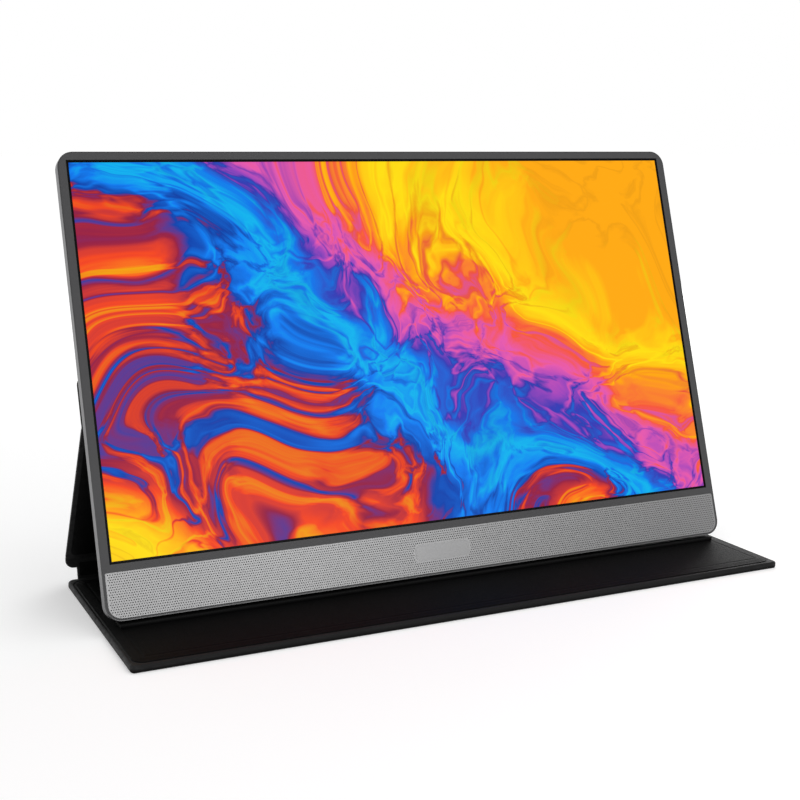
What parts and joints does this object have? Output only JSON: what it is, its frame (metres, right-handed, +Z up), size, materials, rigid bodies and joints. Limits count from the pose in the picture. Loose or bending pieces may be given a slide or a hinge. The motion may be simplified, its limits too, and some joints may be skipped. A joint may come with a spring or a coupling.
{
  "type": "portable monitor",
  "caption": "Slim flat-panel portable monitor with a perforated speaker chin, standing leaned back on a folding magnetic leather cover that is both case and stand.",
  "frame": {"origin": "centre of the cover's base, on its underside, which lies on the table", "axes": "+X to the viewer's right along the long side, +Y away from the viewer, +Z up"},
  "size_m": [0.3576, 0.1414, 0.2238],
  "materials": {
    "leather_outer": "fine grain",
    "leather_lining": "fine grain",
    "greyboard": "pressed board",
    "magnet": "nickel plated",
    "foam": "thin felt padding",
    "soft_strip": "matte",
    "casing_metal": "fine blasted",
    "bezel_grey": "satin",
    "grille_grey": "satin",
    "screw_steel": "plain",
    "screen_film": "smooth",
    "screen_glass": "smooth",
    "optical_film": "satin",
    "reflector": "white",
    "light_parts": "clear",
    "tape": "matte",
    "chassis_metal": "plain",
    "circuit_board": "solder mask",
    "flex_foil": "amber foil",
    "chip_plastic": "moulded",
    "copper_sheet": "plain",
    "socket_metal": "stamped",
    "socket_plastic": "moulded",
    "button_metal": "fine blasted",
    "pin_steel": "plain",
    "lamp_plastic": "clear",
    "speaker_plastic": "moulded",
    "gasket_foam": "soft",
    "lead_cover": "insulated",
    "steel_sheet": "plain"
  },
  "bodies": {
    "base": {"base_skin": "leather_outer", "base_board": "greyboard", "base_magnets": "magnet", "base_padding": "foam", "base_liner": "leather_lining", "stop_strip": "soft_strip"},
    "spine": {"spine_skin": "leather_outer", "spine_board": "greyboard", "spine_liner": "leather_lining"},
    "lower_panel": {"lower_panel_skin": "leather_outer", "lower_panel_board": "greyboard", "lower_panel_liner": "leather_lining"},
    "upper_panel": {"upper_panel_skin": "leather_outer", "upper_panel_board": "greyboard", "upper_panel_liner": "leather_lining", "upper_panel_magnets": "magnet"},
    "monitor": {"front_bezel": "bezel_grey", "rear_cover": "casing_metal", "speaker_grille": "grille_grey", "badge_plate": "grille_grey", "case_screws": "screw_steel", "polariser_film": "screen_film", "lcd_glass": "screen_glass", "prism_film": "optical_film", "diffuser_sheet": "optical_film", "light_guide": "optical_film", "reflector_sheet": "reflector", "led_bar": "light_parts", "panel_chassis": "chassis_metal", "panel_adhesive": "tape", "driver_board": "circuit_board", "display_flex": "flex_foil", "display_cable": "flex_foil", "main_board": "circuit_board", "board_chips": "chip_plastic", "board_screws": "screw_steel", "heat_spreader": "copper_sheet", "usb_c_ports": "socket_metal", "mini_hdmi_port": "socket_metal", "audio_jack": "socket_plastic", "audio_board": "circuit_board", "rocker_pin": "pin_steel", "button_board": "circuit_board", "tact_switches": "chip_plastic", "status_light": "lamp_plastic", "speaker_gaskets": "gasket_foam", "magnet_keepers": "steel_sheet", "left_speaker_frame": "speaker_plastic", "left_speaker_cone": "speaker_plastic", "left_speaker_magnet": "magnet", "right_speaker_frame": "speaker_plastic", "right_speaker_cone": "speaker_plastic", "right_speaker_magnet": "magnet", "left_speaker_lead": "lead_cover", "right_speaker_lead": "lead_cover"},
    "power_key": {"power_button": "button_metal"},
    "menu_key": {"menu_rocker": "button_metal"}
  },
  "joints": [
    {"name": "base_fold", "type": "hinge", "parent": "base", "child": "spine", "pos_m": [0, 0.0717, 0.00105], "axis": [-1, 0, 0], "range_deg": [0, 81.5]},
    {"name": "spine_fold", "type": "hinge", "parent": "spine", "child": "lower_panel", "pos_m": [0, 0.07346, 0.01282], "axis": [-1, 0, 0], "range_deg": [0, 42.72]},
    {"name": "crease_fold", "type": "hinge", "parent": "lower_panel", "child": "upper_panel", "pos_m": [0, 0.01836, 0.09385], "axis": [1, 0, 0], "range_deg": [0, 51.79]},
    {"name": "monitor_lift", "type": "slide", "parent": "upper_panel", "child": "monitor", "axis": [0, -0.9533, 0.3019], "range_m": [0, 0.06]},
    {"name": "power_press", "type": "slide", "parent": "monitor", "child": "power_key", "axis": [-1, 0, 0], "range_m": [0, 0.0003], "stiffness_N_per_m": 500, "springref_m": -0.0002},
    {"name": "menu_tilt", "type": "hinge", "parent": "monitor", "child": "menu_key", "pos_m": [0.17493, 0.02368, 0.12521], "axis": [0, -0.9533, 0.3019], "range_deg": [-4, 4], "stiffness_Nm_per_rad": 0.05}
  ],
  "couplings": [
    {"joint": "spine_fold", "follows": "base_fold", "ratio": 0.52409},
    {"joint": "crease_fold", "follows": "base_fold", "ratio": 0.63538}
  ]
}
